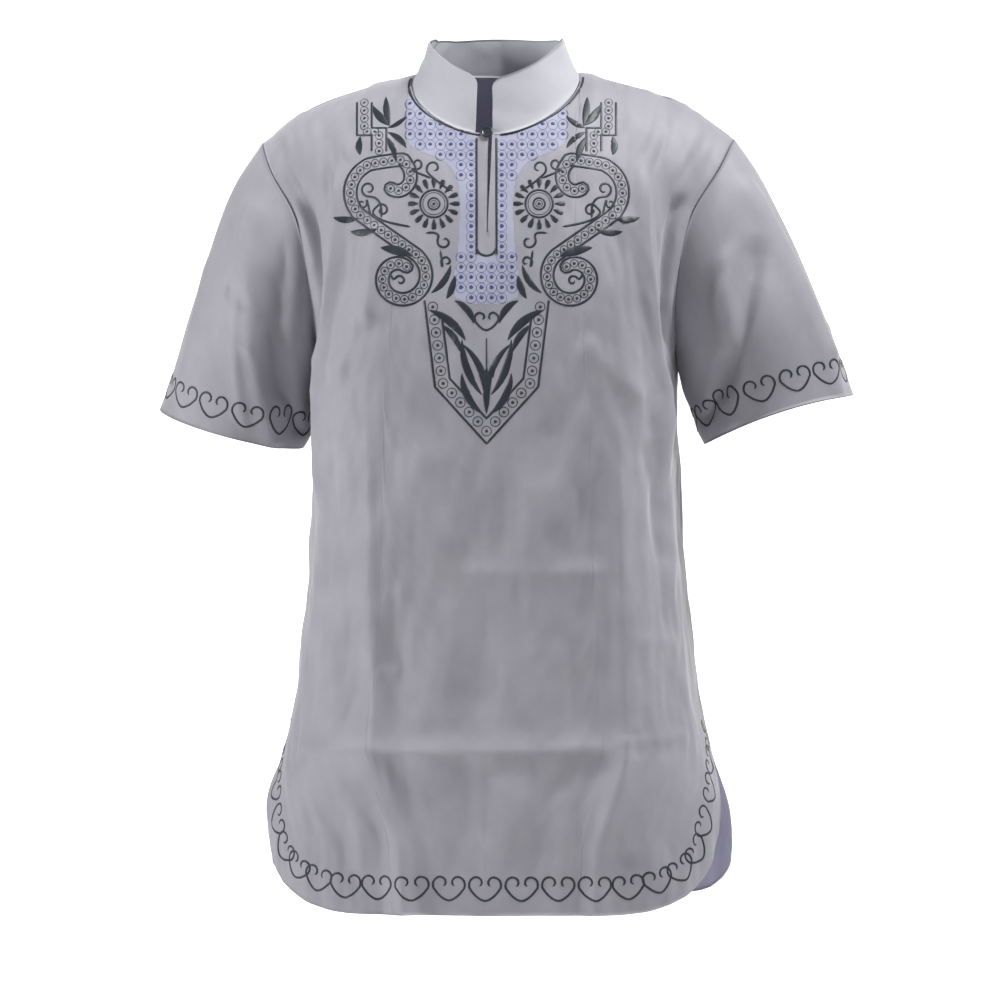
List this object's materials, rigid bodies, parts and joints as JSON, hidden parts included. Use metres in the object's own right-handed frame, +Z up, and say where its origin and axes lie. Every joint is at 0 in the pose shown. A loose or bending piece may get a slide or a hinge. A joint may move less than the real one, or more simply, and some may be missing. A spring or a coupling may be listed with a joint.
{
  "type": "dashiki shirt",
  "caption": "Short-sleeved embroidered dashiki shirt, hollow as worn, with a stand collar, a front neck slit, side vents and rounded shirt-tail hems.",
  "frame": {"origin": "between the shoulders at the height of the neck's base, where the wearer's shoulders carry the shirt", "axes": "+Z up along the body, -Y out of the front, +X towards the wearer's left sleeve"},
  "size_m": [0.6612, 0.2973, 0.8255],
  "materials": {
    "cloth": "crisp pale grey cotton with a soft sheen",
    "collar_cloth": "stiffened pale cotton, slightly lighter than the body",
    "embroidery": "satin-stitch thread, dark slate",
    "scale_fill": "fine stitched fill, blue violet",
    "button": "semi-gloss, dark slate",
    "loop_thread": "twisted thread, matt"
  },
  "bodies": {
    "root": {"front": "cloth", "back": "cloth", "sleeve_left": "cloth", "sleeve_right": "cloth", "collar": "collar_cloth", "button": "button", "button_loop": "loop_thread"}
  },
  "joints": []
}
